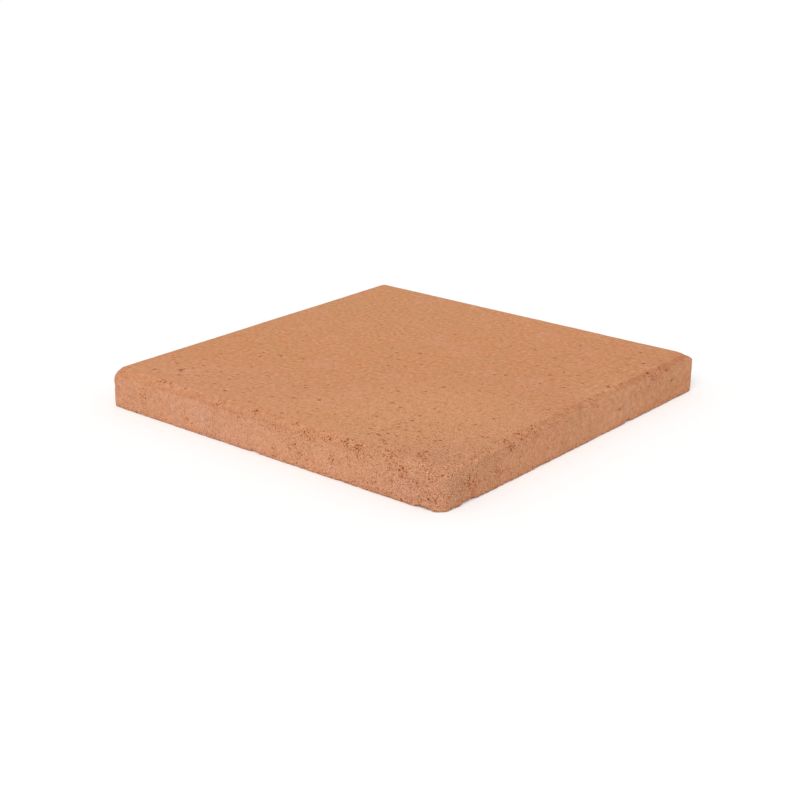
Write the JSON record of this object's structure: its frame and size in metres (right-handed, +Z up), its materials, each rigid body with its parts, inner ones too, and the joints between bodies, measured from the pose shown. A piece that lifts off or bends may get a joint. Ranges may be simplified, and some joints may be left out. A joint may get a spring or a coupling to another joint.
{
  "type": "concrete paving slab",
  "caption": "Square pressed concrete paving slab with rounded corners and a low bevel round its walking face, laid flat on a bed to make a path or patio.",
  "frame": {"origin": "centre of the bed face, the flat underside that lies on the ground", "axes": "+Z up out of the walking face; X and Y square to the slab's upright sides"},
  "size_m": [0.4, 0.4, 0.038],
  "materials": {
    "pressed_concrete": "matte, fine open pores, pigmented terracotta tan"
  },
  "bodies": {
    "root": {"paving_slab": "pressed_concrete"}
  },
  "joints": []
}
